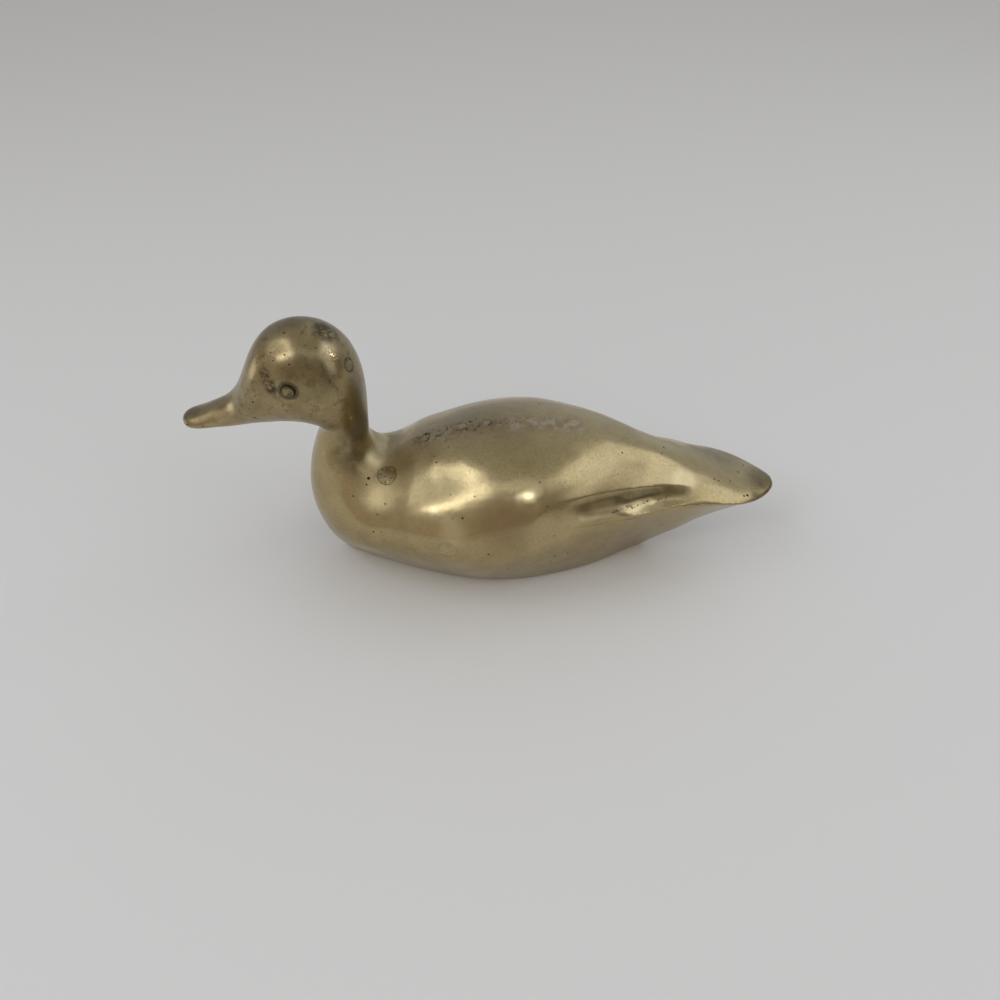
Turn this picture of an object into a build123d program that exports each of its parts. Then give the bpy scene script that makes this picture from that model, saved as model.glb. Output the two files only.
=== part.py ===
"""Brass duck: a hollow cast figurine that rests on a flat base.

Millimetres. The bill points to -X, the tail to +X and the duck's left side to -Y; +Z is up.
The origin lies on the floor, under the middle of the length and the width.
"""

import os
from math import radians, tan

from build123d import *

# Overall sizes of the finished casting
overall_length = 230.0
overall_height = 109.0
body_width = 79.0

# Shell of the castings
wall = 4.5
floor_thickness = 5.0
flank_slope = 53.0
ridge_slope = 0.02

# Joint between the body and the neck
joint_height = 60.5
joint_end_x = -38.0
tenon_diameter = 13.0
tenon_length = 7.0
tenon_fit = 0.05
neck_bore = 7.0
neck_bore_foot = 33.0
neck_bore_top = 76.0
neck_axis_x = -56.5
throat_x = -74.0

# Eyes: a stud in a ringed socket
eye_diameter = 5.4
eye_ring_diameter = 7.4
eye_ring_depth = 0.9
eye_depth = 3.4
eye_rise = 0.5
eye_rounding = 0.7
eye_fit = 0.03

# Plugs that close the holes left by the core pins
shoulder_plug_diameter = 7.4
flank_plug_diameter = 6.8
nape_plug_diameter = 4.8
base_plug_diameter = 14.0
base_plug_x = 22.0
base_plug_recess = 0.3
plug_depth = 2.6
plug_fit = 0.06
pin_share = 0.55

# Shape of the sections: a handle of round_handle draws a quarter circle, a longer one is fuller
round_handle = 0.5523
flank_rise = tan(radians(flank_slope))
keel_reach = 1.1
flank_handle = 0.26

# How the poles of a section move, across and up, for each millimetre of groove under the wing
cove_foot_shift = (-1.0, -0.7)
cove_bottom_shift = (-1.15, -1.5)
wing_edge_shift = (-0.9, -0.45)
wing_top_shift = (-1.0, -0.6)

# A slight kink at the wing edge, as a share of the height above it, carries the edge along the whole form
wing_kink = 0.004


def station(top, keel, half, widest, ridge=round_handle, side=round_handle, keel_handle=round_handle,
            hull=round_handle, lean=0.0, fall=0.0, wing=0.3, groove=0.0):
    """One section of the form, in table units: its ridge and keel points, then its shape."""
    return dict(top=top, keel=keel, half=half, widest=widest, ridge=ridge, side=side, keel_handle=keel_handle,
                hull=hull, lean=lean, fall=fall, wing=wing, groove=groove)


def seated(top, keel_x, base_half, half, widest_z, **shape):
    """A section that reaches the floor, where it is about base_half wide on each side."""
    keel_z = -base_half * flank_rise
    widest = (widest_z - keel_z) / (top[1] - keel_z)
    made = station(top, (keel_x, keel_z), half, widest, **shape)
    made["keel_handle"] = keel_reach * base_half / half
    made["keel_lift"] = keel_reach * base_half * flank_rise
    made["hull"] = flank_handle
    return made


# Table of offsets from the tail to the tip of the bill
tail_stations = [
    station((115, 37.0), (115, 35.2), 2.4, 0.50, lean=0.6, wing=0.6),
    station((114.4, 37.3), (114.4, 34.2), 4.0, 0.54, lean=0.8, wing=0.6),
    station((112.4, 37.8), (112.4, 32.6), 7.0, 0.62, lean=1.0, wing=0.6),
    station((108, 38.8), (108, 29.8), 11.4, 0.71, lean=1.2, wing=0.6),
    station((98, 41.6), (98, 24.2), 16.9, 0.77, lean=1.2, keel_handle=0.45, wing=0.6),
    station((87, 45.6), (87, 17.2), 18.9, 0.775, lean=0.8, keel_handle=0.35, wing=0.55, groove=0.5),
    station((76, 50.4), (76, 8.5), 20.5, 0.755, lean=0.4, keel_handle=0.25, ridge=0.62, side=0.65, wing=0.45,
            groove=2.1),
]
body_stations = [
    seated((64, 55.8), 64, 1.6, 23.1, 40.3, lean=0.25, ridge=0.58, side=0.6, wing=0.36, groove=3.8),
    seated((50, 61.6), 50, 10.3, 27.6, 41.1, lean=0.2, ridge=0.64, wing=0.31, groove=3.8),
    seated((34, 65.6), 34, 17.4, 32.8, 41.0, lean=0.1, ridge=0.6, groove=1.8),
    seated((16, 67.2), 16, 20.6, 37.6, 37.5),
    seated((-2, 66.2), -2, 20.0, 39.5, 34.0, ridge=0.5, side=0.53),
    seated((-18, 62.2), -18, 17.0, 37.5, 33.5, fall=0.1, ridge=0.48, side=0.48),
    seated((-29, 57.0), -32, 13.0, 34.0, 32.5, fall=0.1, ridge=0.52, side=0.48),
    seated((-36.5, 52.6), -47, 7.6, 30.2, 31.0, fall=0.08, ridge=0.54, side=0.5),
    seated((-41, 51.6), -61.0, 0.8, 27.0, 30.5, fall=0.08, ridge=0.54, side=0.5),
]
neck_stations = [
    station((-43.6, 53.6), (-65.6, 8.8), 24.0, 0.56, fall=0.08, ridge=0.57, keel_handle=0.22, hull=0.4),
    station((-44.8, 56.6), (-69.6, 22.0), 20.7, 0.56, fall=0.06, ridge=0.56, keel_handle=0.42, hull=0.5),
    station((-45.1, 60.2), (-71, 38.0), 17.5, 0.53, fall=0.03),
    station((-45.0, 64.3), (-68.5, 52.5), 14.4, 0.50),
    station((-44.8, 69.2), (-64.8, 62.5), 12.2, 0.50),
    station((-44.4, 77.0), (-63.0, 66.5), 13.0, 0.55),
]
head_stations = [
    station((-45, 88.0), (-65, 68.3), 15.5, 0.55),
    station((-49.8, 101.0), (-69.5, 68.8), 16.8, 0.55),
    station((-57, 107.2), (-73, 68.7), 16.9, 0.55),
    station((-65.8, 109.0), (-76.8, 68.5), 16.4, 0.55),
    station((-74, 107.0), (-80.5, 68.1), 15.4, 0.53),
    station((-80.5, 102.2), (-84, 67.8), 14.0, 0.51),
    station((-86.5, 93.2), (-87.5, 67.3), 11.8, 0.48),
    station((-91, 84.3), (-91, 66.8), 9.8, 0.45),
]
bill_stations = [
    station((-96, 78.2), (-96, 66.2), 8.2, 0.40),
    station((-102.5, 74.6), (-102.5, 65.6), 7.4, 0.38),
    station((-109, 71.8), (-109, 65.4), 7.0, 0.38),
    station((-112.8, 70.6), (-112.8, 65.7), 5.4, 0.42),
    station((-114.5, 69.7), (-114.5, 66.4), 3.0, 0.45),
    station((-115, 69.0), (-115, 67.2), 1.4, 0.50),
]
all_stations = tail_stations + body_stations + neck_stations + head_stations + bill_stations

# Eyes and plugs in the same units: a point inside the form and the way out to the skin, on the side of +Y
skin_marks = {
    "eye": ((-68.3, 0, 91.0), (0, 1, 0)),
    "nape": ((-64.0, 0, 88.0), (17.0, 6.2, 7.5)),
    "shoulder": ((-37.6, 12.8, 20.0), (0, 0, 1)),
    "flank": ((-14.4, 0, 35.0), (0, 1, 0)),
}

# Stretch from the table of offsets to the finished sizes
table_length = all_stations[0]["top"][0] - all_stations[-1]["top"][0]
table_height = max(s["top"][1] for s in all_stations)
table_width = 2 * max(s["half"] for s in all_stations)
stretch_x = overall_length / table_length
stretch_y = body_width / table_width
stretch_z = overall_height / table_height


def between(a, b, share):
    """The point a given share of the way from a to b."""
    return (a[0] + (b[0] - a[0]) * share, a[1] + (b[1] - a[1]) * share)


def parted(poles, share):
    """A Bezier curve cut in two at the given share of its run."""
    first, second = [poles[0]], [poles[-1]]
    while len(poles) > 1:
        poles = [between(a, b, share) for a, b in zip(poles, poles[1:])]
        first.append(poles[0])
        second.insert(0, poles[-1])
    return first, second


def moved(pole, shift, amount):
    """A pole of a curve moved by an amount of the given shift."""
    return (pole[0] + shift[0] * amount, pole[1] + shift[1] * amount)


def draw_section(s, inset=0.0):
    """Sketch one section of the table, moved inwards by inset."""
    top = Vector(s["top"][0] * stretch_x, 0, s["top"][1] * stretch_z)
    keel = Vector(s["keel"][0] * stretch_x, 0, s["keel"][1] * stretch_z)
    upright = (top - keel).normalized()
    height = (top - keel).length - 2 * inset
    half = s["half"] * stretch_y - inset
    plane = Plane(origin=keel + upright * inset, x_dir=(0, 1, 0), z_dir=Vector(0, 1, 0).cross(upright))
    low = s["widest"] * height
    high = height - low
    lean = s["lean"] + ridge_slope
    keel_lift = s.get("keel_lift", ridge_slope * s["keel_handle"] * half)
    hull = [
        (0, 0),
        (s["keel_handle"] * half, keel_lift),
        (half - lean * s["hull"] * low, low - s["hull"] * low),
        (half, low),
    ]
    back = [
        (half, low),
        (half, low + s["side"] * high),
        (s["ridge"] * half, height - (s["fall"] + ridge_slope) * s["ridge"] * half),
        (0, height),
    ]
    # the wing stands over a cove that runs along the tail end of the flank
    cove, wing = parted(back, s["wing"])
    groove = s["groove"] * stretch_y
    cove[1] = moved(cove[1], cove_foot_shift, groove)
    cove[2] = moved(cove[2], cove_bottom_shift, groove)
    cove[3] = moved(cove[3], wing_edge_shift, groove)
    wing[0] = cove[3]
    wing[1] = moved(wing[1], wing_top_shift, groove)
    wing[1] = moved(wing[1], (wing_kink, 0), high)
    with BuildSketch(plane) as profile:
        with BuildLine():
            for poles in (hull, cove, wing):
                Bezier(*poles)
            for poles in (wing, cove, hull):
                Bezier(*[(-y, z) for y, z in reversed(poles)])
        make_face()
    return profile.sketch


# Outer form: one smooth skin from the tail, round the breast and up the neck, to the bill
with BuildPart() as outer_form:
    loft(sections=[draw_section(s) for s in all_stations])
    split(bisect_by=Plane.XY, keep=Keep.TOP)

# Sand cores that leave the castings hollow: the same sections, one wall thickness inside
with BuildPart() as body_core:
    core_stations = tail_stations[-1:] + body_stations + neck_stations[:2]
    loft(sections=[draw_section(s, inset=wall) for s in core_stations])
    split(bisect_by=Plane.XY.offset(floor_thickness), keep=Keep.TOP)

with BuildPart() as head_core:
    loft(sections=[draw_section(s, inset=wall) for s in neck_stations[-1:] + head_stations[:5]])


def spots_on_skin(mark):
    """Where the lines of a mark leave the form on the left and right, as planes that face outwards."""
    start, way = skin_marks[mark]
    spots = {}
    for name, side in (("left", -1), ("right", 1)):
        origin = Vector(start[0] * stretch_x, start[1] * side * stretch_y, start[2] * stretch_z)
        line = Axis(origin, (way[0], way[1] * side, way[2]))
        point, outward = outer_form.part.find_intersection_points(line)[-1]
        spots[name] = Plane(origin=point, z_dir=outward)
    return spots


eye_spots = spots_on_skin("eye")
nape_spots = spots_on_skin("nape")
shoulder_spots = spots_on_skin("shoulder")
flank_spots = spots_on_skin("flank")
base_spot = Plane(origin=(base_plug_x * stretch_x, 0, 0), z_dir=(0, 0, -1))

body_plug_seats = [(spot, shoulder_plug_diameter) for spot in shoulder_spots.values()]
body_plug_seats += [(spot, flank_plug_diameter) for spot in flank_spots.values()]
body_plug_seats += [(base_spot, base_plug_diameter)]
head_plug_seats = [(spot, nape_plug_diameter) for spot in nape_spots.values()]

joint_z = joint_height * stretch_z
neck_x = neck_axis_x * stretch_x
on_floor = (Align.CENTER, Align.CENTER, Align.MIN)
hanging = (Align.CENTER, Align.CENTER, Align.MAX)
head_side = (Align.MAX, Align.CENTER, Align.MIN)

# Space of the head casting: all above the joint, and all in front of the throat
with BuildPart() as head_space:
    with Locations((joint_end_x * stretch_x, 0, joint_z)):
        Box(overall_length, body_width, overall_height, align=head_side)
    with Locations((throat_x * stretch_x, 0, 0)):
        Box(overall_length, body_width, 2 * overall_height, align=head_side)

# Bore through the joint, from the hollow of the body to the hollow of the head
with BuildPart() as joint_bore:
    with Locations((neck_x, 0, neck_bore_foot * stretch_z)):
        Cylinder(neck_bore / 2, (neck_bore_top - neck_bore_foot) * stretch_z, align=on_floor)

# Body: breast, back, wings and tail in one hollow casting, closed by the flat base
with BuildPart() as body_casting:
    add(outer_form.part)
    add(head_space.part, mode=Mode.SUBTRACT)
    add(body_core.part, mode=Mode.SUBTRACT)
    with Locations((neck_x, 0, joint_z)):
        Cylinder(tenon_diameter / 2 + tenon_fit, tenon_length + tenon_fit, align=hanging, mode=Mode.SUBTRACT)
    add(joint_bore.part, mode=Mode.SUBTRACT)
    for spot, diameter in body_plug_seats:
        with Locations(spot.offset(-plug_depth)):
            Cylinder(diameter / 2 + plug_fit, 2 * plug_depth, align=on_floor, mode=Mode.SUBTRACT)
            Cylinder(diameter / 2 * pin_share, 2 * wall, align=hanging, mode=Mode.SUBTRACT)
body_casting.part.label = "body_casting"

# Head: neck, head and bill in one hollow casting that stands in the body on a short tenon
with BuildPart() as head_casting:
    add(outer_form.part)
    add(head_space.part, mode=Mode.INTERSECT)
    add(head_core.part, mode=Mode.SUBTRACT)
    with Locations((neck_x, 0, joint_z)):
        Cylinder(tenon_diameter / 2, tenon_length, align=hanging)
    add(joint_bore.part, mode=Mode.SUBTRACT)
    for spot in eye_spots.values():
        with Locations(spot.offset(-eye_ring_depth)):
            Cylinder(eye_ring_diameter / 2, 3 * eye_ring_depth, align=on_floor, mode=Mode.SUBTRACT)
        with Locations(spot.offset(-eye_depth)):
            Cylinder(eye_diameter / 2 + eye_fit, eye_depth, align=on_floor, mode=Mode.SUBTRACT)
    for spot, diameter in head_plug_seats:
        with Locations(spot.offset(-plug_depth)):
            Cylinder(diameter / 2 + plug_fit, 2 * plug_depth, align=on_floor, mode=Mode.SUBTRACT)
            Cylinder(diameter / 2 * pin_share, 2 * wall, align=hanging, mode=Mode.SUBTRACT)
head_casting.part.label = "head_casting"

os.makedirs("parts", exist_ok=True)
export_step(body_casting.part, "parts/body_casting.step")
export_step(head_casting.part, "parts/head_casting.step")

# Eyes: domed studs that stand a little proud of their ringed sockets
for name, spot in eye_spots.items():
    with BuildPart() as eye:
        with Locations(spot.offset(-eye_depth)):
            Cylinder(eye_diameter / 2, eye_depth + eye_rise, align=on_floor)
        rims = eye.edges().filter_by(GeomType.CIRCLE).sort_by(Axis(spot.origin, spot.z_dir))
        fillet(rims[-1], eye_rounding)
    eye.part.label = f"eye_{name}"
    export_step(eye.part, f"parts/eye_{name}.step")

# Plugs of the core pin holes, dressed flush with the skin
for kind, spots, diameter in (
    ("shoulder_plug", shoulder_spots, shoulder_plug_diameter),
    ("flank_plug", flank_spots, flank_plug_diameter),
    ("nape_plug", nape_spots, nape_plug_diameter),
):
    for name, spot in spots.items():
        with BuildPart() as plug:
            with Locations(spot.offset(-plug_depth)):
                Cylinder(diameter / 2, 2 * plug_depth, align=on_floor)
            add(outer_form.part, mode=Mode.INTERSECT)
        plug.part.label = f"{kind}_{name}"
        export_step(plug.part, f"parts/{kind}_{name}.step")

# Plug of the hole in the base through which the core was cleared
with BuildPart() as base_plug:
    with Locations(base_spot.offset(-plug_depth)):
        Cylinder(base_plug_diameter / 2, plug_depth - base_plug_recess, align=on_floor)
base_plug.part.label = "base_plug"
export_step(base_plug.part, "parts/base_plug.step")
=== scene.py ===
# %% [markdown]
# # An old brass duck
#
# The object is a hollow duck, about 230 mm long, cast in brass and dressed by hand. Its skin is satin, a
# little uneven, pitted here and there, brown with age round the neck and bright on its ridges and swells,
# which the finish gives as painted highlights. The imported CAD model gives the exact forms. This lesson
# turns them into a casting that looks handled: one worked skin, round plugs let into it, eyes in ringed
# sockets, and a brass finish whose colour, polish and dirt change from place to place, with some
# highlights and shade painted into its colour.

# %% Load the frame
import math
import random

import bpy
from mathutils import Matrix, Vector
from mathutils.geometry import intersect_point_line
from mathutils.kdtree import KDTree


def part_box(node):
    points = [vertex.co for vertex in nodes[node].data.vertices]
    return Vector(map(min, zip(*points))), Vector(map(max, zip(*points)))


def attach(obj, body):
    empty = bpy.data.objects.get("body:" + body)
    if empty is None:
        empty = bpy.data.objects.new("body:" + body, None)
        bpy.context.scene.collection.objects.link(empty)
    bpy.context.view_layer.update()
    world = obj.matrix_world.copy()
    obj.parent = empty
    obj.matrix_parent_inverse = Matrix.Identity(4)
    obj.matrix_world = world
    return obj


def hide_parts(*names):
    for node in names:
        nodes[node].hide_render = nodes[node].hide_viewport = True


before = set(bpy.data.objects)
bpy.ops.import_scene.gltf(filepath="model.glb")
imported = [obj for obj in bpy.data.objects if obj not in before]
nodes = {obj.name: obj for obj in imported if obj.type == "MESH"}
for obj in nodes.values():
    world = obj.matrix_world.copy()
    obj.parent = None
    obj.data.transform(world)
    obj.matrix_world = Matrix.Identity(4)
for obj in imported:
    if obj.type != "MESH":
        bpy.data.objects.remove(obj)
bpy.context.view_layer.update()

MM = 0.001
print("nodes:", ", ".join(sorted(nodes)))

# %% [markdown]
# ## Small helpers
#
# Blender's operators act on whatever is selected, and loading the frame leaves its nodes selected. Every
# step here therefore starts by selecting what it works on and nothing else. A modifier is added, set and
# applied in one call, so that each piece ends as a plain mesh.

# %% Select objects, apply one modifier


def work_on(*objects):
    """Select these objects alone and make the first one active."""
    bpy.ops.object.select_all(action="DESELECT")
    for obj in objects:
        obj.select_set(True)
    bpy.context.view_layer.objects.active = objects[0]


def apply_modifier(obj, kind, **settings):
    """Add a modifier with these settings and apply it."""
    work_on(obj)
    modifier = obj.modifiers.new(kind.title(), kind)
    for name, value in settings.items():
        setattr(modifier, name, value)
    bpy.ops.object.modifier_apply(modifier=modifier.name)


def joined(objects, name):
    """Join several objects into one."""
    work_on(*objects)
    bpy.ops.object.join()
    objects[0].name = name
    return objects[0]


def size_of(obj):
    """The name of an object and its number of faces, to print."""
    return f"{obj.name}: {len(obj.data.polygons)} faces"


# %% [markdown]
# ## One skin for the whole casting
#
# On the real duck the joint at the foot of the neck and the plugs of the core holes were filed over, so
# the skin runs on across them. Copies of all the CAD nodes are joined and remeshed on a grid of small
# cubes, which welds them into one skin of even faces. The hollow inside is closed off and never seen, so
# only the outer shell is kept. A few rounds of smoothing take away the trace of the grid.

# %% Join the copies and weld them
voxel = 0.75 * MM
merge_distance = 0.002 * MM

copies = []
for name in sorted(nodes):
    copy = bpy.data.objects.new(f"copy_{name}", nodes[name].data.copy())
    bpy.context.scene.collection.objects.link(copy)
    copies.append(copy)
skin = joined(copies, "skin")
skin.data.materials.clear()

bpy.ops.object.mode_set(mode="EDIT")
bpy.ops.mesh.select_all(action="SELECT")
bpy.ops.mesh.remove_doubles(threshold=merge_distance)
bpy.ops.object.mode_set(mode="OBJECT")
apply_modifier(skin, "REMESH", mode="VOXEL", voxel_size=voxel)
print(size_of(skin))

# %% Keep the outer shell
grid_rounds = 4


def loose_parts(obj):
    """Separate an object into its loose parts."""
    work_on(obj)
    bpy.ops.object.mode_set(mode="EDIT")
    bpy.ops.mesh.select_all(action="SELECT")
    bpy.ops.mesh.separate(type="LOOSE")
    bpy.ops.object.mode_set(mode="OBJECT")
    return list(bpy.context.selected_objects)


shells = sorted(loose_parts(skin), key=lambda part: len(part.data.polygons))
for shell in shells[:-1]:
    bpy.data.objects.remove(shell)
skin = shells[-1]
skin.name = "skin"
apply_modifier(skin, "SMOOTH", factor=0.5, iterations=grid_rounds)
print(size_of(skin))

# %% [markdown]
# ## Fairing, and a few swells
#
# The neck swells out of the body in one soft sweep, and the front end of each wing edge melts into the
# flank. Filing has rounded these places more than the rest. The same is done here: vertex groups mark
# them, and many rounds of smoothing act on those groups alone. Before and after that, the skin is pushed
# along its own normals: out at the front of the wing coves, at the shoulder behind the neck and at the
# low swells beside the neck and on the flanks, and in at the notch behind the neck. Each place is given
# on the left side, in millimetres, and the right side follows.

# %% Weights round a line


def fade(value, start, end):
    """0 at start, 1 at end, and a soft change between."""
    share = min(max((value - start) / (end - start), 0.0), 1.0)
    return share * share * (3 - 2 * share)


def closeness(points, reach, core=0.0):
    """A weight that is 1 within core of a line through these points, on either side, and 0 beyond reach."""
    points = [Vector(point) * MM for point in points]

    def weight(vertex):
        place = Vector((vertex.co.x, -abs(vertex.co.y), vertex.co.z))
        distances = [(place - points[0]).length]
        for start, end in zip(points, points[1:]):
            share = intersect_point_line(place, start, end)[1]
            distances.append((place - start.lerp(end, min(max(share, 0.0), 1.0))).length)
        return fade(min(distances), reach * MM, core * MM)
    return weight


def weigh(name, weight_of):
    """Give the skin a vertex group whose weights come from a function of each vertex."""
    group = skin.vertex_groups.new(name=name)
    for vertex in skin.data.vertices:
        group.add([vertex.index], weight_of(vertex), "REPLACE")


def soften(name, points, reach, core, rounds):
    """Smooth the skin near a line."""
    weigh(name, closeness(points, reach, core))
    apply_modifier(skin, "SMOOTH", factor=0.5, iterations=rounds, vertex_group=name)
    skin.vertex_groups.clear()
    print("softened", name, "in", rounds, "rounds")


def push_out(name, points, reach, rise):
    """Push the skin out near a line, or in where rise is negative."""
    weigh(name, closeness(points, reach))
    apply_modifier(skin, "DISPLACE", strength=rise * MM, mid_level=0.0, vertex_group=name)
    skin.vertex_groups.clear()
    print("pushed", name, "by", rise, "mm")


# %% Soften the foot of the neck and the wing edges
push_out("cove_front", ((38, -29.5, 43), (46, -26, 43), (52, -23.2, 43.5)), 6.0, 0.9)
soften("neck_foot", ((-43, -13, 50), (-44, -18, 46)), 17, 8, 900)
soften("neck_side", ((-44, -18, 46), (-45, -22, 40), (-46, -25, 34)), 14, 6, 250)
soften("wing_front", ((24, -35, 43.5), (33, -32.3, 43), (42, -28.6, 42.5), (48, -26, 42)), 7, 3, 300)
soften("cove_end", ((44, -26, 43.5), (52, -22.5, 43), (60, -19.5, 42)), 5, 2, 60)
soften("wing_crease", ((27, -34.6, 41.2), (59, -23.6, 37.3), (84, -19.4, 39.8)), 2.5, 1, 15)

# %% Shape the shoulder, the notch and the swells
push_out("shoulder", ((-27, 0, 56), (-27, -12, 54)), 18.0, 0.7)
push_out("neck_notch", ((-39, 0, 52.5), (-39, -6, 51.8)), 5.0, -0.6)
soften("neck_fold", ((-40.5, 0, 54), (-41, -6, 52.5), (-42, -11, 50.8), (-44, -15, 48.5)), 8, 3, 100)
push_out("neck_swell", ((-43.8, -7.6, 53.0),), 5.5, 0.9)
push_out("flank_swell", ((-12.6, -38.5, 34),), 15.0, 0.7)

# %% [markdown]
# ## A hand-dressed surface
#
# Sand casting and filing leave a surface that is never quite true. A soft cloud pattern pushes the skin
# in by up to half a millimetre, in hollows as wide as a thumb, and a finer one adds a slight ripple. The
# pattern only pushes inwards, so the duck keeps its size. It fades out near the base, which is then
# pressed flat.

# %% Push the skin in by soft clouds
base_margin = (1.0 * MM, 9.0 * MM)

weigh("above_base", lambda vertex: fade(vertex.co.z, *base_margin))
for title, width, depth in (("hand", 21 * MM, 0.45 * MM), ("file", 7 * MM, 0.12 * MM)):
    clouds = bpy.data.textures.new(f"{title}_marks", "CLOUDS")
    clouds.noise_scale = width
    clouds.noise_depth = 0
    apply_modifier(skin, "DISPLACE", texture=clouds, texture_coords="LOCAL", strength=depth, mid_level=1.0,
                   vertex_group="above_base")
skin.vertex_groups.clear()
print("dressed:", size_of(skin))

# %% Press the base flat
base_skim = 0.25 * MM


def select_vertices(obj, test):
    """Open an object in edit mode with the vertices selected whose place passes a test."""
    work_on(obj)
    bpy.ops.object.mode_set(mode="EDIT")
    bpy.ops.mesh.select_mode(type="VERT")
    bpy.ops.mesh.select_all(action="DESELECT")
    bpy.ops.object.mode_set(mode="OBJECT")
    for vertex in obj.data.vertices:
        vertex.select = test(vertex.co)
    bpy.ops.object.mode_set(mode="EDIT")


select_vertices(skin, lambda place: place.z < base_skim)
bpy.ops.transform.resize(value=(1, 1, 0), center_override=(0, 0, 0))
bpy.ops.object.mode_set(mode="OBJECT")
print("skin size in mm:", [round(c / MM, 2) for c in skin.dimensions])

# %% [markdown]
# ## Plugs, and the seats they fill
#
# A hollow casting is poured round a core on pins. The pins leave round holes, which are closed by plugs
# and filed flush. Each plug is cut out of the skin itself, by a slightly tapered cylinder, so its face
# follows the skin exactly and a fine groove is left round it. The plugs on the flanks and on the right
# side are well filed, with hardly any groove. The place, direction and width of each one are read from
# its CAD node.

# %% Read the round plugs and studs from the frame
same_way = 0.9999


def measure_disc(name):
    """Foot, outward direction and radius of a plug or stud, from the flat face at its inner end."""
    faces = nodes[name].data.polygons
    area_by_normal = {}
    for face in faces:
        key = tuple(round(c, 3) for c in face.normal)
        area_by_normal[key] = area_by_normal.get(key, 0.0) + face.area
    inwards = Vector(max(area_by_normal, key=area_by_normal.get)).normalized()
    flat = [face for face in faces if face.normal.dot(inwards) > same_way]
    area = sum(face.area for face in flat)
    foot = sum((face.center * face.area for face in flat), Vector()) / area
    return foot, -inwards, math.sqrt(area / math.pi)


def disc_height(name):
    """How far a plug or stud reaches outwards from its foot."""
    foot, outwards = discs[name][:2]
    return max((vertex.co - foot).dot(outwards) for vertex in nodes[name].data.vertices)


plug_names = [name for name in sorted(nodes) if "_plug_" in name]
eye_names = [name for name in sorted(nodes) if name.startswith("eye_")]
discs = {name: measure_disc(name) for name in plug_names + eye_names}
for name, (foot, outwards, radius) in discs.items():
    print(name, [round(c / MM, 1) for c in foot], "radius", round(radius / MM, 2))

# %% Round tools, and a cut with a tool
tool_reach = 7 * MM
tool_sides = 64


def add_round_tool(foot, outwards, radius, end_radius=None):
    """A cylinder or a cone on this axis, from its foot outwards."""
    bpy.ops.object.select_all(action="DESELECT")
    bpy.ops.mesh.primitive_cone_add(
        vertices=tool_sides,
        radius1=radius,
        radius2=radius if end_radius is None else end_radius,
        depth=tool_reach,
        location=foot + outwards * tool_reach / 2,
        rotation=outwards.to_track_quat("Z", "Y").to_euler(),
    )
    bpy.ops.object.transform_apply(location=True, rotation=True, scale=True)
    return bpy.context.active_object


def cut(obj, tool, operation):
    """Cut an object with a tool, and put the tool away."""
    apply_modifier(obj, "BOOLEAN", operation=operation, object=tool, solver="MANIFOLD")
    print(size_of(obj), "after", operation.lower(), tool.name)
    bpy.data.objects.remove(tool)


def copy_of(obj, name):
    """A copy of an object, with a mesh of its own."""
    twin = obj.copy()
    twin.data = obj.data.copy()
    twin.name = name
    bpy.context.scene.collection.objects.link(twin)
    return twin


# %% Cut the plugs out of a copy of the skin
plug_taper = 0.14 * MM
fine_taper = 0.02 * MM
seat_gap = 0.03 * MM

plug_tools = []
for name in plug_names:
    foot, outwards, radius = discs[name]
    well_filed = name.startswith("flank") or name.endswith("right")
    end_radius = radius - (fine_taper if well_filed else plug_taper)
    plug_tools.append(add_round_tool(foot + outwards * seat_gap, outwards, radius, end_radius))
plug_stock = copy_of(skin, "plug_stock")
cut(plug_stock, joined(plug_tools, "plug_tool"), "INTERSECT")

plugs = {}
for plug in loose_parts(plug_stock):
    middle = sum((Vector(corner) for corner in plug.bound_box), Vector()) / len(plug.bound_box)
    name = min(plug_names, key=lambda plug_name: (discs[plug_name][0] - middle).length)
    plug.name = f"dressed_{name}"
    plugs[name] = plug
print("plugs:", ", ".join(sorted(plugs)))

# %% [markdown]
# ## Pits in the casting
#
# Gas and loose sand leave pits. The few that show on the left side are listed, in millimetres on
# the duck. Others are scattered with a fixed seed: small ones in the rough strip along the ridge of the
# back, where the two halves of the mould met, finer ones in the left wing cove, and a thin sprinkle
# elsewhere. They are real hollows, cut by little balls, so that they stay in the exported mesh and hold
# their shade from every side.

# %% Place the pits that are seen
# Each pit has its place along, across and up the duck, and a size that pit_scale turns into a radius.
pit_scale = 0.62
placed_pits = [
    (-45.2, -14.0, 49.1, 1.00), (-45.8, -16.1, 47.9, 0.60), (-19.6, -12.2, 58.5, 0.45),
    (-18.7, -14.9, 57.8, 0.60), (-14.3, -9.9, 61.4, 0.45), (-8.7, -34.1, 47.3, 0.65),
    (-4.3, -29.4, 53.9, 0.45), (-43.6, -28.1, 34.1, 0.65), (51.2, -10.3, 58.9, 0.60),
    (49.3, -17.5, 54.2, 0.40), (88.9, -8.1, 44.0, 0.60), (90.8, -8.4, 43.4, 0.60),
    (95.8, -6.9, 41.9, 0.55), (-41.8, -24.6, 40.3, 0.50), (-40.4, -29.1, 35.1, 0.40),
    (-13.2, -27.2, 52.8, 0.45), (-12.4, -33.5, 46.7, 0.35), (-23.3, -0.6, 59.9, 1.00),
    (-22.0, -1.0, 60.5, 0.60), (-6.5, 0.6, 65.4, 0.80), (-72.5, -12.5, 101.0, 0.50),
    (-66.9, -14.0, 100.4, 0.50), (-82.3, -14.0, 84.6, 0.65), (-87.9, -11.0, 81.6, 0.45),
    (-71.5, -15.7, 84.1, 0.45), (-111.9, -5.8, 68.6, 0.65), (-105.5, -7.3, 68.9, 0.55),
    (-83.9, -11.6, 75.8, 0.60), (67.9, -3.8, 53.6, 0.50), (69.2, 0.1, 53.4, 0.70),
    (102.0, -12.2, 39.0, 1.00), (100.4, -12.8, 39.0, 0.70),
]
pits = [(Vector(pit[:3]) * MM, pit[3] * pit_scale * MM) for pit in placed_pits]
print("pits placed by hand:", len(pits))

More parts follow.
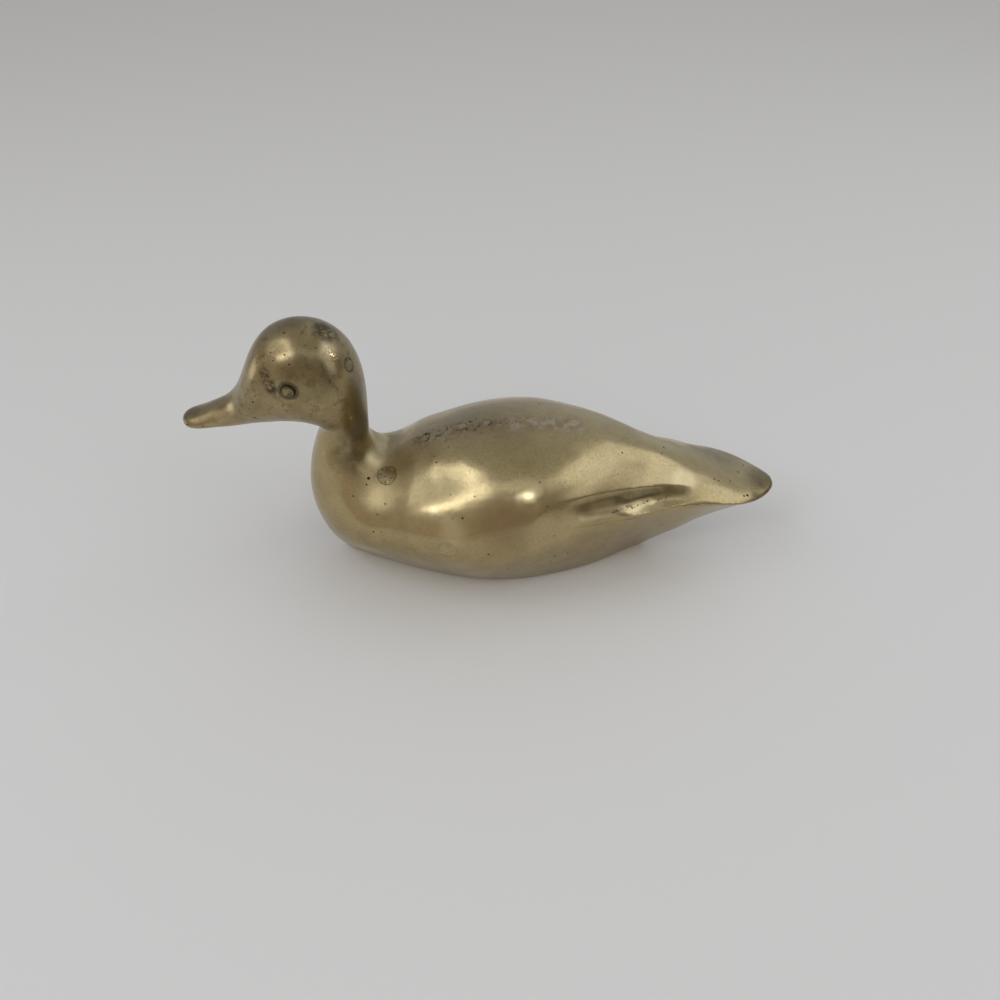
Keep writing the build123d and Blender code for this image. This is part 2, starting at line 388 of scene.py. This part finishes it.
# %% Scatter the small pits
dice = random.Random(7)
ridge_pits, ridge_sizes = 20, (0.16, 0.36)
ridge_run, ridge_middle, ridge_scatter, above_ridge = (-24.0, 22.0), -1.8, 1.4, 70.0
cove_pits, cove_sizes, cove_scatter = 36, (0.10, 0.18), 0.35
cove_start, cove_end = Vector((47.0, -25.4, 42.2)), Vector((70.0, -17.2, 42.4))
sprinkled_pits, sprinkled_sizes = 60, (0.14, 0.26)

for _ in range(ridge_pits):
    along = dice.uniform(*ridge_run)
    across = dice.gauss(ridge_middle, ridge_scatter)
    pits.append((Vector((along, across, above_ridge)) * MM, dice.uniform(*ridge_sizes) * MM))
for _ in range(cove_pits):
    place = cove_start.lerp(cove_end, dice.random()) + Vector((0, 0, dice.gauss(0, cove_scatter)))
    pits.append((place * MM, dice.uniform(*cove_sizes) * MM))
for index in dice.sample(range(len(skin.data.polygons)), sprinkled_pits):
    pits.append((skin.data.polygons[index].center.copy(), dice.uniform(*sprinkled_sizes) * MM))
print("pits with the scattered ones:", len(pits))

# %% Make a ball for each pit that stands clear of the others
ball_lift = 0.3
ball_spacing = 0.1 * MM

pit_tools = []
pit_balls = []
for place, radius in pits:
    point, normal = skin.closest_point_on_mesh(place)[1:3]
    centre = point + normal * radius * ball_lift
    if any((centre - other).length < radius + reach + ball_spacing for other, reach in pit_balls):
        continue
    pit_balls.append((centre, radius))
    bpy.ops.object.select_all(action="DESELECT")
    bpy.ops.mesh.primitive_ico_sphere_add(subdivisions=3, radius=radius, location=centre)
    bpy.ops.object.transform_apply(location=True)
    pit_tools.append(bpy.context.active_object)
print("balls:", len(pit_balls))

# %% Cut the seats, the eye sockets and the pits
eye_rise = 0.5 * MM
socket_depth = 0.4 * MM
socket_margin = 1.25 * MM

seat_tools = []
for name in plug_names + eye_names:
    foot, outwards, radius = discs[name]
    seat_tools.append(add_round_tool(foot, outwards, radius + seat_gap))
    if name in eye_names:
        ring_foot = foot + outwards * (disc_height(name) - eye_rise - socket_depth)
        seat_tools.append(add_round_tool(ring_foot, outwards, radius + socket_margin))
low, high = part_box("base_plug")
base_radius = (high.x - low.x) / 2
base_centre = Vector(((low.x + high.x) / 2, 0, high.z))
seat_tools.append(add_round_tool(base_centre, Vector((0, 0, -1)), base_radius + seat_gap))
for tool in seat_tools:
    cut(skin, tool, "DIFFERENCE")
cut(skin, joined(pit_tools, "pit_tool"), "DIFFERENCE")

# %% [markdown]
# ## Body and head
#
# The head and neck are a casting of their own, set on the body with a short tenon and filed over. The
# skin is parted at the height of that joint with a bisect, which cuts only the faces that are selected,
# so the back of the duck stays whole. Both halves are capped.

# %% Part the skin at the joint
joint_back = -39.5 * MM
joint_height = 60.5 * MM


def bisect_front(obj, keep_upper):
    """Cut the part in front of the notch at the height of the joint and keep one side of it."""
    select_vertices(obj, lambda place: place.x < joint_back)
    bpy.ops.mesh.bisect(plane_co=(0, 0, joint_height), plane_no=(0, 0, 1), use_fill=True,
                        clear_inner=keep_upper, clear_outer=not keep_upper)
    bpy.ops.object.mode_set(mode="OBJECT")


body = skin
body.name = "dressed_body"
head = copy_of(skin, "dressed_head")
bisect_front(body, keep_upper=False)
bisect_front(head, keep_upper=True)
select_vertices(head, lambda place: place.x > joint_back)
bpy.ops.mesh.delete(type="VERT")
bpy.ops.object.mode_set(mode="OBJECT")
print(size_of(body), size_of(head))

# %% Smooth shading, bodies, and the nodes they stand for
sharp_angle = math.radians(40)

pieces = {"body_casting": body, "head_casting": head, **plugs}
for name, piece in pieces.items():
    work_on(piece)
    bpy.ops.object.shade_smooth_by_angle(angle=sharp_angle)
    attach(piece, "root")
    "plug_brass" if "_plug_" in name else "cast_brass"
    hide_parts(name)
print("pieces:", ", ".join(sorted(piece.name for piece in pieces.values())))

# %% [markdown]
# ## Shader maths as Python
#
# A finish is a web of nodes. To keep it readable, one small class wraps a socket, and arithmetic on it
# adds the Math nodes. Its one method for other nodes takes the type, the settings and the inputs.

# %% A socket that takes part in expressions


class Shade:
    """A socket of a node, which Python's arithmetic can work on."""

    def __init__(self, tree, socket=None):
        self.tree = tree
        self.socket = socket

    def node(self, kind, settings=None, inputs=None, output=0):
        """Add a node, set it, feed its inputs, and return one of its outputs."""
        made = self.tree.nodes.new(kind)
        for name, value in (settings or {}).items():
            setattr(made, name, value)
        for key, value in (inputs or {}).items():
            if isinstance(value, Shade):
                self.tree.links.new(value.socket, made.inputs[key])
            else:
                made.inputs[key].default_value = value
        return Shade(self.tree, made.outputs[output])

    def axis(self, number):
        """One part of a vector: 0 along the duck, 1 across it, 2 upwards."""
        return self.node("ShaderNodeSeparateXYZ", {}, {0: self}, output=number)

    def math(self, operation, first, second):
        return self.node("ShaderNodeMath", {"operation": operation}, {0: first, 1: second})

    def __add__(self, other):
        return self.math("ADD", self, other)

    def __radd__(self, other):
        return self.math("ADD", other, self)

    def __sub__(self, other):
        return self.math("SUBTRACT", self, other)

    def __rsub__(self, other):
        return self.math("SUBTRACT", other, self)

    def __mul__(self, other):
        return self.math("MULTIPLY", self, other)

    def __rmul__(self, other):
        return self.math("MULTIPLY", other, self)

    def __or__(self, other):
        """The stronger of two masks."""
        return self.math("MAXIMUM", self, other)


# %% Colours, patterns and places


def linear(red, green, blue):
    """A screen colour of 0 to 255 as the linear colour that Blender works in."""
    def channel(value):
        value /= 255
        return value / 12.92 if value <= 0.04045 else ((value + 0.055) / 1.055) ** 2.4
    return (channel(red), channel(green), channel(blue), 1.0)


def mixed(share, first, second):
    """A colour between two colours."""
    return share.node("ShaderNodeMix", {"data_type": "RGBA"}, {0: share, 6: first, 7: second}, output=2)


def layered(colour, layers):
    """Lay colours over a first one, each by its own mask."""
    for share, tone in layers:
        colour = mixed(share, colour, tone)
    return colour


def smooth_step(value, start, end):
    """0 before start, 1 after end, and a soft change between."""
    return value.node("ShaderNodeMapRange", {"interpolation_type": "SMOOTHSTEP"},
                      {"Value": value, "From Min": start, "From Max": end})


def noise(place, width, detail=3.0, roughness=0.5):
    """Cloud noise whose lumps are about this wide, in millimetres."""
    return place.node("ShaderNodeTexNoise", {},
                      {"Vector": place, "Scale": 1 / (width * MM), "Detail": detail, "Roughness": roughness})


def vector_math(operation, first, second, output=0):
    """A Vector Math node; to scale, the second input is a number."""
    inputs = {0: first, 3: second} if operation == "SCALE" else {0: first, 1: second}
    return first.node("ShaderNodeVectorMath", {"operation": operation}, inputs, output)


def near(place, centre, inner, outer):
    """1 within inner of a point on the duck, 0 beyond outer, in millimetres."""
    distance = vector_math("DISTANCE", place, [c * MM for c in centre], "Value")
    return smooth_step(distance, outer * MM, inner * MM)


def by_line(place, start, end, inner, outer):
    """1 within inner of a straight line on the duck, 0 beyond outer, in millimetres."""
    start, run = Vector(start) * MM, (Vector(end) - Vector(start)) * MM
    from_start = vector_math("SUBTRACT", place, start)
    share = vector_math("DOT_PRODUCT", from_start, run, "Value") * (1 / run.length_squared)
    share = share.node("ShaderNodeClamp", {}, {"Value": share})
    whole_run = share.node("ShaderNodeCombineXYZ", {}, dict(enumerate(run)))
    on_line = vector_math("SCALE", whole_run, share)
    distance = vector_math("DISTANCE", from_start, on_line, "Value")
    return smooth_step(distance, outer * MM, inner * MM)


# %% [markdown]
# ## Old brass
#
# Brass that is handled and never lacquered turns from yellow to an olive brown. Light rubbing keeps the
# raised parts brighter and smoother. A metal has no colour but its reflection, so the base colour is that
# of the tarnished metal itself, the shader is fully metallic, and the roughness gives the satin. Soft
# clouds mix rubbed and tarnished brass, and finer speckle is the grain of old polish. Over that lie the
# marks of this one duck: brown at the neck and low on the flanks, a scuffed strip on the back, a darker
# tail, smudges before the eye, and dirt round the eyes and plugs. Some light and shade is painted in as
# well: painted shade in the wing coves and along the wing creases, and painted highlights on the cove
# ledges, the wing tips, the side of the bill, a patch on the flank and the lump at the foot of the neck.

# %% Colours of the metal
rubbed = linear(190, 172, 130)
tarnished = linear(164, 147, 107)
brown = linear(138, 120, 88)
aged = linear(120, 104, 76)
olive = linear(108, 97, 70)
russet = linear(148, 122, 90)
scuffed = linear(190, 176, 152)
grey_metal = linear(136, 128, 112)
dull_metal = linear(116, 109, 92)
# A light brass colour for painted highlights.
painted_highlight = linear(208, 192, 150)
dirt = linear(58, 49, 37)
pit_dark = linear(58, 44, 32)
pit_brown = linear(104, 82, 58)
print("rubbed brass, linear:", [round(c, 3) for c in rubbed[:3]])

# %% Start and finish a metal
relief_strength = 0.2


def start_metal(name):
    """A new, fully metallic material, and the place on the duck."""
    material = bpy.data.materials.new(name)
    material.use_nodes = True
    tree = material.node_tree
    tree.nodes["Principled BSDF"].inputs["Metallic"].default_value = 1.0
    return material, Shade(tree).node("ShaderNodeTexCoord", output="Object")


def both_sides(place):
    """The place with the left side folded over to the right, for marks that both sides have."""
    along, across, height = (place.axis(number) for number in range(3))
    across = across.math("ABSOLUTE", across, 0.0)
    return place.node("ShaderNodeCombineXYZ", {}, {0: along, 1: across, 2: height})


def finish_metal(material, colour, roughness, relief, depth):
    """Feed colour, roughness and fine relief to the shader."""
    tree = material.node_tree
    shader = tree.nodes["Principled BSDF"]
    bump = relief.node("ShaderNodeBump", {},
                       {"Height": relief, "Strength": relief_strength, "Distance": depth * MM})
    for socket, value in (("Base Color", colour), ("Roughness", roughness), ("Normal", bump)):
        tree.links.new(value.socket, shader.inputs[socket])
    return material


# %% Where the plugs and eyes meet the skin
disc_tops = {}
for name, (foot, outwards, radius) in discs.items():
    disc_tops[name] = (foot + outwards * disc_height(name)) / MM
print("marks on the skin:", {name: [round(c, 1) for c in top] for name, top in disc_tops.items()})

# %% What the marks on the castings share


class Marks:
    """Patterns and places on the castings that several marks share."""

    def __init__(self, place):
        self.place = place
        self.both = both_sides(place)
        self.along, self.height = place.axis(0), place.axis(2)
        self.clouds = smooth_step(noise(place, 24, 3.0), 0.36, 0.64)
        self.mottle = smooth_step(noise(place, 5.5, 4.0, 0.6), 0.36, 0.66)
        self.patches = smooth_step(noise(place, 9, 5.0, 0.65), 0.42, 0.62)
        self.crust = smooth_step(noise(place, 1.6, 3.0, 0.7), 0.46, 0.58)
        self.head_age = smooth_step(self.height, 60 * MM, 74 * MM) * (0.6 + 0.4 * self.patches)
        self.ridge = by_line(place, (-25, -2, 59), (-4, -3, 66), 1.5, 6.0)
        self.ridge = self.ridge | by_line(place, (-4, -3, 66), (34, -2, 66.5), 1.5, 6.0)
        self.tail_end = near(place, (106.5, -12.3, 37.6), 1, 5.5) * (0.4 + 0.6 * self.patches)


# %% Colour of the body, the head and the back


def body_colour(marks):
    """Rubbed and tarnished brass, browner low on the flanks."""
    grain = smooth_step(noise(marks.place, 0.7, 4.0, 0.7), 0.34, 0.68)
    specks = smooth_step(noise(marks.place, 1.1, 3.0, 0.7), 0.5, 0.66)
    low_flank = smooth_step(marks.height, 40 * MM, 20 * MM)
    flank_stain = near(marks.place, (7, -37, 46), 4, 15)
    plain = mixed(marks.clouds * 0.4 + marks.mottle * 0.25 + grain * 0.35, rubbed, tarnished)
    return layered(plain, [
        (specks * 0.2, olive),
        (low_flank * (0.05 + 0.2 * marks.mottle), brown),
        (flank_stain * 0.6, russet),
    ])


def with_head_marks(marks, colour):
    """Age on the head and neck, darker olive on the neck and the side of the head, and a painted highlight
    on the lump at the foot of the neck.
    """
    place = marks.place
    freckles = smooth_step(noise(place, 3.0, 5.0, 0.75), 0.52, 0.66)
    freckles = freckles * smooth_step(marks.height, 66 * MM, 78 * MM)
    # Darker olive low on the neck and on the side of the head.
    darker_neck_and_head_side = near(place, (-49, -12, 61), 4, 12) | near(place, (-61, -15, 97), 5, 13) * 0.75
    # The lump at the foot of the neck gets a painted highlight.
    painted_lump_highlight = near(place, (-43.8, -7.6, 53.5), 1, 5)
    neck_back = by_line(place, (-45, -7, 86), (-46, -6, 68), 3, 9)
    return layered(colour, [
        (marks.head_age * 0.55, aged),
        (freckles * 0.7, olive),
        (darker_neck_and_head_side * (0.45 + 0.45 * marks.mottle), olive),
        (painted_lump_highlight * 0.9, painted_highlight),
        (neck_back * 0.6, dull_metal),
    ])


def with_back_marks(marks, colour):
    """The scuffed strip on the back, and a scuff at the nape."""
    scuffs = marks.ridge * smooth_step(noise(marks.place, 4.5, 4.0, 0.65), 0.42, 0.64)
    nape_scuff = near(marks.place, (-53.4, -6.5, 102.8), 1.5, 5.0) * marks.mottle
    return layered(colour, [
        (marks.ridge * (0.35 + 0.35 * marks.mottle), russet),
        (scuffs * 0.75, scuffed),
        (nape_scuff * 0.6, scuffed),
    ])


# %% Colour of the wings, the tail and the bill


def with_wing_marks(marks, colour):
    """Painted shade in the coves, and painted highlights on the ledge below them, on the wing tip and on a
    patch of the flank.
    """
    # Painted shade along the wall under each wing edge.
    painted_cove_shade = by_line(marks.both, (34, 28.7, 48.3), (58.4, 18.4, 45), 1.2, 3.3)
    painted_cove_shade = painted_cove_shade | by_line(marks.both, (58.4, 18.4, 45), (75, 15, 44.4), 1.0, 2.8)
    painted_cove_shade = painted_cove_shade * smooth_step(marks.along, 26 * MM, 46 * MM)
    # Painted highlights: on the ledge below each cove, on a patch of the flank and on each wing tip.
    painted_ledge_highlight = by_line(marks.both, (36, 30.3, 44.2), (66, 19.4, 40.8), 1.0, 2.6)
    painted_flank_highlight = near(marks.place, (-12.6, -36.2, 42.0), 1.5, 7.5)
    painted_wing_tip_highlight = near(marks.both, (76, 12.2, 47.2), 2, 7)
    return layered(colour, [
        (painted_cove_shade * (0.55 + 0.25 * marks.mottle), olive),
        (painted_ledge_highlight * (0.9 - 0.4 * marks.mottle), painted_highlight),
        (painted_flank_highlight * 0.8, painted_highlight),
        (painted_wing_tip_highlight * (0.9 - 0.3 * marks.mottle), painted_highlight),
    ])


def with_end_marks(marks, colour):
    """A darker tail with a dirty corner, and a bill with a painted highlight on its side, dull at its tip.
    """
    # The end and the far top of the tail are darker olive.
    darker_tail = near(marks.place, (113, -2, 36.5), 4, 14) | near(marks.place, (94, 10, 42), 4, 16) * 0.6
    # A painted highlight along the side of the bill.
    painted_bill_highlight = by_line(marks.place, (-93, -7.4, 77), (-99, -7.0, 73.5), 1.0, 3.2)
    bill_top = near(marks.place, (-112, -1.5, 70.5), 2, 8) * (0.6 + 0.4 * marks.mottle)
    return layered(colour, [
        (darker_tail * (0.7 + 0.3 * marks.patches), olive),
        (marks.tail_end * 0.6, dirt),
        (painted_bill_highlight * (0.7 - 0.3 * marks.mottle), painted_highlight),
        (bill_top * 0.6, olive),
    ])


# %% Dirt and painted shade on the castings


def dirt_and_crease_shade(marks):
    """Smudges on the head, dirt on the ridge and along the wing coves, painted shade along the wing creases,
    and rings round the plugs and eyes.
    """
    place, both, along = marks.place, marks.both, marks.along
    smudge = by_line(place, (-76.2, -13.8, 97.2), (-74.2, -15.8, 91.6), 1.0, 3.2)
    smudge = smudge * smooth_step(noise(place, 2.4, 4.0, 0.65), 0.36, 0.54)
    crown = near(place, (-55.4, -1.2, 106.0), 2.0, 7.0)
    crown = crown * smooth_step(noise(place, 3.0, 4.0, 0.7), 0.38, 0.54)
    ridge = marks.ridge * smooth_step(noise(place, 2.6, 4.0, 0.7), 0.5, 0.62)
    ridge = ridge * smooth_step(along, 12 * MM, -4 * MM)
    cove_line = by_line(both, (47, 25.2, 42.2), (70, 17.2, 42.4), 0.4, 1.4) * marks.crust
    # A thin painted shade along the convex crease where the flank turns under each wing cove.
    painted_crease_shade = by_line(both, (27, 34.6, 41.2), (59, 23.6, 37.3), 0.2, 0.9)
    painted_crease_shade = painted_crease_shade | by_line(both, (59, 23.6, 37.3), (84, 19.4, 39.8), 0.2, 0.7)
    painted_crease_shade = painted_crease_shade * smooth_step(along, 16 * MM, 45 * MM)
    spots = smudge * 0.85 | crown * 0.8 | ridge * 0.75 | cove_line * 0.6 | painted_crease_shade * 0.4

    eye = near(both, disc_tops["eye_right"], 3.6, 4.2) * 0.55
    shoulder = near(place, disc_tops["shoulder_plug_left"], 3.8, 4.3) * (0.3 + 0.4 * marks.crust)
    flank = near(place, disc_tops["flank_plug_left"], 3.5, 3.8) * 0.12
    nape = near(place, disc_tops["nape_plug_left"], 2.5, 3.0) * (0.5 + 0.4 * marks.crust)
    return spots | eye | shoulder | flank | nape


# %% The finish of the castings


def casting_finish():
    """Old brass: its colours with some painted highlights and shade, its dirt, its satin and a faint ripple.
    """
    material, place = start_metal("old_brass")
    marks = Marks(place)
    colour = body_colour(marks)
    for with_marks in (with_head_marks, with_back_marks, with_wing_marks, with_end_marks):
        colour = with_marks(marks, colour)
    dirt_and_shade = dirt_and_crease_shade(marks)
    # Dirt darkens the colour, and so does the painted shade along the wing creases.
    colour = mixed(dirt_and_shade, colour, dirt)

    worn = near(place, (-43, -19, 46), 3, 11)
    matt = by_line(place, (-45, -8, 66), (-42, -9, 54), 4, 10) | near(place, (-32, -9, 54), 6, 16)
    roughness = 0.2 + 0.06 * marks.clouds + 0.2 * (marks.ridge * marks.mottle) + 0.08 * marks.head_age
    roughness = roughness + 0.16 * worn + 0.24 * matt + 0.25 * (dirt_and_shade | marks.tail_end)
    ripple = noise(place, 1.4, 1.0)
    return finish_metal(material, colour, roughness, ripple, 0.02)


# %% The finish of the plugs, the eyes and the pits


def plug_finish(name, tone, share, rough):
    """A plug of its own metal, toned towards another colour, with pores where it is rough."""
    material, place = start_metal(name)
    speckle = noise(place, 0.8, 4.0, 0.75)
    grain = smooth_step(speckle, 0.36, 0.66)
    mottle = smooth_step(noise(place, 3.0, 3.0), 0.38, 0.62)
    pores = smooth_step(noise(place, 1.0, 2.0, 0.6), 0.58, 0.68) * rough
    plain = mixed(mottle * 0.5 + grain * 0.4, rubbed, tarnished)
    colour = layered(plain, [(share * (0.7 + 0.3 * mottle), tone), (pores * 0.8, dirt)])
    roughness = 0.28 + rough * 0.2 * grain + 0.2 * pores
    return finish_metal(material, colour, roughness, speckle, 0.1 + 0.3 * rough)


def eye_finish():
    """A stud that is worn bright in the middle and dark at its rim."""
    material, place = start_metal("eye_brass")
    speckle = noise(place, 0.7, 4.0, 0.7)
    mottle = smooth_step(noise(place, 1.5, 3.0, 0.6), 0.4, 0.6)
    middle = near(both_sides(place), disc_tops["eye_right"], 1.6, 2.6)
    colour = mixed(middle * (0.3 + 0.5 * mottle), dirt, tarnished)
    return finish_metal(material, colour, 0.34 - 0.08 * middle + 0.1 * speckle, speckle, 0.25)


def pit_finish():
    """Brown dirt that has settled in the pits of the casting."""
    material, place = start_metal("pit_dirt")
    speckle = noise(place, 0.5, 3.0, 0.7)
    colour = mixed(smooth_step(speckle, 0.3, 0.7), pit_dark, pit_brown)
    return finish_metal(material, colour, 0.5 + 0.2 * speckle, speckle, 0.1)


# %% Dress every piece
finishes = {
    "casting": casting_finish(),
    "plug": plug_finish("flush_plug", grey_metal, 0.05, 0.2),
    "shoulder_plug_left": plug_finish("rough_plug", olive, 0.4, 1.0),
    "nape_plug_left": plug_finish("grey_plug", dull_metal, 0.9, 1.0),
    "base_plug": plug_finish("turned_plug", grey_metal, 0.2, 0.4),
    "eye": eye_finish(),
}


def dress(obj, finish):
    """Give an object this finish and no other."""
    obj.data.materials.clear()
    obj.data.materials.append(finish)


for name, piece in pieces.items():
    dress(piece, finishes.get(name, finishes["plug" if name in plugs else "casting"]))
for name in eye_names:
    dress(nodes[name], finishes["eye"])
dress(nodes["base_plug"], finishes["base_plug"])
print("finishes:", ", ".join(finish.name for finish in finishes.values()))

# %% Dirt in the pits
pit_tolerance = 0.04 * MM
least_facing = 0.8

pit_tree = KDTree(len(pit_balls))
for number, (centre, radius) in enumerate(pit_balls):
    pit_tree.insert(centre, number)
pit_tree.balance()

pit_dirt = pit_finish()
for piece in (body, head):
    piece.data.materials.append(pit_dirt)
    marked = 0
    for face in piece.data.polygons:
        centre, number, distance = pit_tree.find(face.center)
        facing = (centre - face.center).normalized().dot(face.normal)
        if facing > least_facing and distance < pit_balls[number][1] + pit_tolerance:
            face.material_index = 1
            marked += 1
    print(piece.name, "faces in pits:", marked)

# %% [markdown]
# ## Floor, light and camera
#
# The floor is plain and pale. Satin brass shows mostly what it reflects, so each light is a rectangle
# that is placed for its reflection. Daylight comes from a soft window on the left, with a bent row of
# brighter panes above it and towards the camera, and from a wide window on the right. Two low windows and
# a dim panel above the camera fill the shaded sides. Two small lamps with narrow beams put one bright
# spot on the side of the back and one on the back of the head. The room itself is grey: warm in front,
# darkest on the right and cooler behind.

# %% Floor
floor_size = 6.0

bpy.ops.object.select_all(action="DESELECT")
bpy.ops.mesh.primitive_plane_add(size=floor_size, location=(0, 0, 0))
floor = bpy.context.active_object
floor.name = "floor"
floor_finish = bpy.data.materials.new("pale_floor")
floor_finish.use_nodes = True
floor_shader = floor_finish.node_tree.nodes["Principled BSDF"]
floor_shader.inputs["Base Color"].default_value = linear(240, 238, 234)
floor_shader.inputs["Roughness"].default_value = 0.8
floor_shader.inputs["Specular IOR Level"].default_value = 0.2
floor.data.materials.append(floor_finish)
print("floor:", floor_size, "m wide")

# %% The room
low_right = (0.24, 0.21, 0.18, 1.0)
low_left = (0.46, 0.41, 0.36, 1.0)
overhead = (0.42, 0.42, 0.40, 1.0)
behind_left = (0.34, 0.36, 0.42, 1.0)
behind_right = (0.56, 0.60, 0.68, 1.0)

world = bpy.data.worlds.new("room")
bpy.context.scene.world = world
world.use_nodes = True
background = world.node_tree.nodes["Background"]
direction = Shade(world.node_tree).node("ShaderNodeTexCoord", output="Generated")
upwards = vector_math("DOT_PRODUCT", direction, (0, 0, 1), "Value")
backwards = vector_math("DOT_PRODUCT", direction, (0, 1, 0), "Value")
leftwards = vector_math("DOT_PRODUCT", direction, (-0.8, -0.6, 0), "Value")
low_part = mixed(smooth_step(leftwards, -0.1, 0.6), low_right, low_left)
behind = mixed(smooth_step(direction.axis(0), -0.2, 0.2), behind_left, behind_right)
room = mixed(smooth_step(upwards, 0.1, 0.9), low_part, overhead)
room = mixed(smooth_step(backwards, -0.1, 0.9), room, behind)
world.node_tree.links.new(room.socket, background.inputs["Color"])
print("room:", world.name)

# %% Windows and lamps
daylight = (0.96, 1.0, 1.10)
lamplight = (0.88, 1.0, 1.2)
wide_open = 180


def add_window(name, azimuth, elevation, width, height, radiance, colour=daylight, target=(0, 0, 55),
               spread=wide_open):
    """A rectangular light, a metre from its target and facing it; azimuth 0 is the camera, 90 the tail."""
    bpy.ops.object.select_all(action="DESELECT")
    azimuth, elevation = math.radians(azimuth), math.radians(elevation)
    level = math.cos(elevation)
    towards = Vector((level * math.sin(azimuth), -level * math.cos(azimuth), math.sin(elevation)))
    bpy.ops.object.light_add(type="AREA", location=Vector(target) * MM + towards,
                             rotation=towards.to_track_quat("Z", "Y").to_euler())
    window = bpy.context.active_object
    window.name = name
    light = window.data
    light.shape = "RECTANGLE"
    light.size = width
    light.size_y = height
    light.color = colour
    light.spread = math.radians(spread)
    # A narrow beam needs less power for the same brightness.
    beam = 1.0 if spread == wide_open else (light.spread / 2) ** 2 / 3
    light.energy = radiance * math.pi * width * height * beam


add_window("left_window", -82, 40, 0.50, 0.28, 0.7)
pane_path = [(-87, 55), (-66, 59), (-46, 53), (-37, 45), (-43, 38), (-52, 36)]
panes = [pane_path[0]]
for start, end in zip(pane_path, pane_path[1:]):
    panes += [tuple((a + b) / 2 for a, b in zip(start, end)), end]
for number, (azimuth, elevation) in enumerate(panes):
    add_window(f"left_window_pane_{number}", azimuth, elevation, 0.12, 0.12, 2.2 + 0.12 * number)
add_window("right_window", 84, 44, 1.10, 0.55, 0.8)
add_window("right_low", 60, 20, 0.50, 0.28, 0.6)
add_window("left_low", -96, 3, 0.40, 0.20, 1.0)
add_window("nape_lamp", 90, 31, 0.03, 0.03, 130.0, target=(-53, -7, 101), spread=3)
add_window("front_panel", -5, 58, 0.80, 0.30, 0.35)
add_window("lamp", 14, 44, 0.05, 0.05, 120.0, lamplight, target=(18, -28, 55), spread=4)
print("panes beside the left window:", len(panes))

# %% Camera
looks_down = 42.5

camera_data = bpy.data.cameras.new("camera")
camera = bpy.data.objects.new("camera", camera_data)
bpy.context.scene.collection.objects.link(camera)
camera.location = (5 * MM, -253 * MM, 257 * MM)
camera.rotation_euler = (math.radians(90 - looks_down), 0, 0)
camera_data.sensor_width = 36.0
camera_data.lens = 29.88
camera_data.clip_start = 0.01
bpy.context.scene.camera = camera
bpy.context.scene.view_settings.view_transform = "Standard"
print("camera looks down by", looks_down, "degrees")
